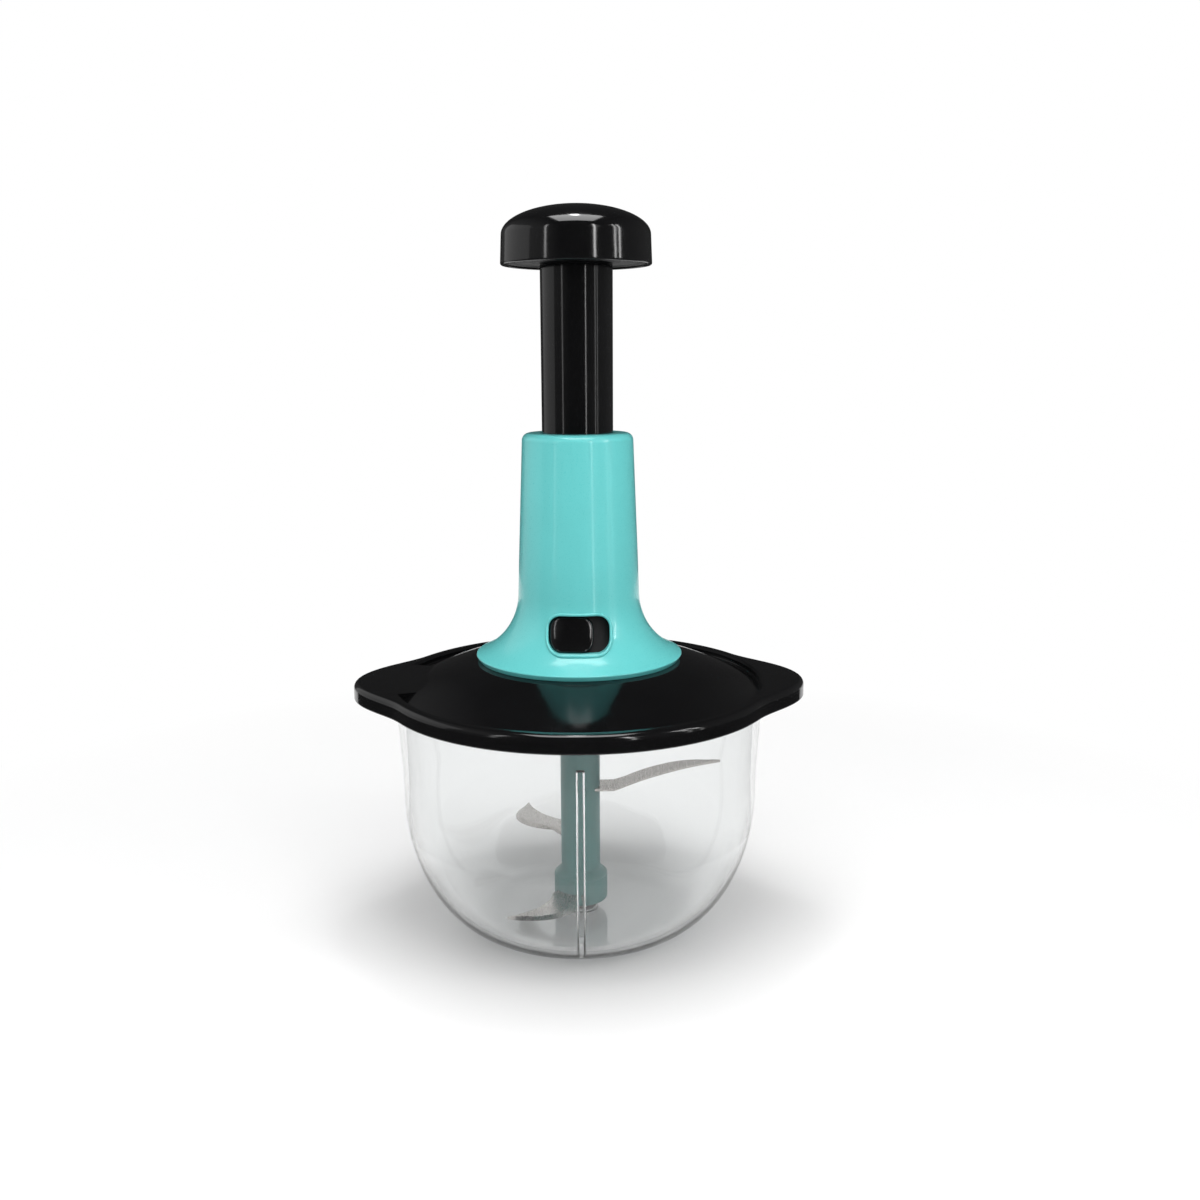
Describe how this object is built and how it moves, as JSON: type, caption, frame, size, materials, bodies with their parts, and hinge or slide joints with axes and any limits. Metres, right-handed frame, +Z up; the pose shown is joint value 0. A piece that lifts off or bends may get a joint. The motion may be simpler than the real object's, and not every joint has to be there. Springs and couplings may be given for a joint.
{
  "type": "plunger food chopper",
  "caption": "Hand food chopper: clear round bowl, black eared lid, flared teal handle with a side-sliding lock, and a domed palm plunger that spins curved blades.",
  "frame": {"origin": "centre of the bowl's flat base, on the surface it stands on", "axes": "+Z up along the plunger, +X towards one lid ear, -Y towards the front with the lock button"},
  "size_m": [0.1968, 0.169, 0.31],
  "materials": {
    "clear_bowl": "clear, polished",
    "black_gloss": "gloss",
    "black_matt": "fine matt",
    "teal_shell": "satin gloss",
    "teal_shaft": "satin",
    "white_nylon": "matt",
    "blade_steel": "ground and brushed",
    "plain_steel": "drawn",
    "soft_seal": "matt silicone"
  },
  "bodies": {
    "bowl": {"bowl": "clear_bowl", "pivot_pin": "plain_steel"},
    "blades": {"blade_shaft": "teal_shaft", "foot_bush": "white_nylon", "lower_blade": "blade_steel", "middle_blade": "blade_steel", "upper_blade": "blade_steel"},
    "lid": {"lid": "black_gloss", "lid_seal": "soft_seal", "handle_shell": "teal_shell", "handle_screws": "plain_steel", "guide_sleeve": "white_nylon", "top_bush": "black_matt", "spindle_housing": "black_gloss", "housing_screws": "plain_steel", "output_bush": "white_nylon", "shaft_seal": "soft_seal", "spindle_bush": "white_nylon", "spring_cap": "white_nylon", "return_spring": "plain_steel"},
    "plunger": {"knob_cap": "black_gloss", "knob_base": "black_matt", "knob_screw": "plain_steel", "plunger_tube": "black_gloss", "drive_nut": "white_nylon", "nut_pins": "plain_steel"},
    "spindle": {"helix_rod": "plain_steel", "thrust_washer": "plain_steel", "clutch_hub": "white_nylon", "rod_pin": "plain_steel", "clutch_pawls": "plain_steel", "clutch_cup": "white_nylon"},
    "lock": {"lock_button": "black_gloss", "lock_carrier": "black_matt"}
  },
  "joints": [
    {"name": "lid_lift", "type": "slide", "parent": "bowl", "child": "lid", "axis": [0, 0, 1], "range_m": [0, 0.08]},
    {"name": "plunger_press", "type": "slide", "parent": "lid", "child": "plunger", "axis": [0, 0, -1], "range_m": [0, 0.062], "stiffness_N_per_m": 250, "springref_m": -0.03, "deforming": ["return_spring"]},
    {"name": "spindle_spin", "type": "hinge", "parent": "lid", "child": "spindle", "pos_m": [0, 0, 0.12], "axis": [0, 0, 1], "range_deg": [0, 720.5]},
    {"name": "blade_spin", "type": "hinge", "parent": "bowl", "child": "blades", "pos_m": [0, 0, 0.012], "axis": [0, 0, 1], "range_deg": [0, 720.5]},
    {"name": "lock_turn", "type": "hinge", "parent": "lid", "child": "lock", "pos_m": [0, 0, 0.1372], "axis": [0, 0, 1], "range_deg": [0, 10.5]}
  ],
  "couplings": [
    {"joint": "spindle_spin", "follows": "plunger_press", "rad_per_m": 202.68},
    {"joint": "blade_spin", "follows": "plunger_press", "rad_per_m": 202.68}
  ]
}
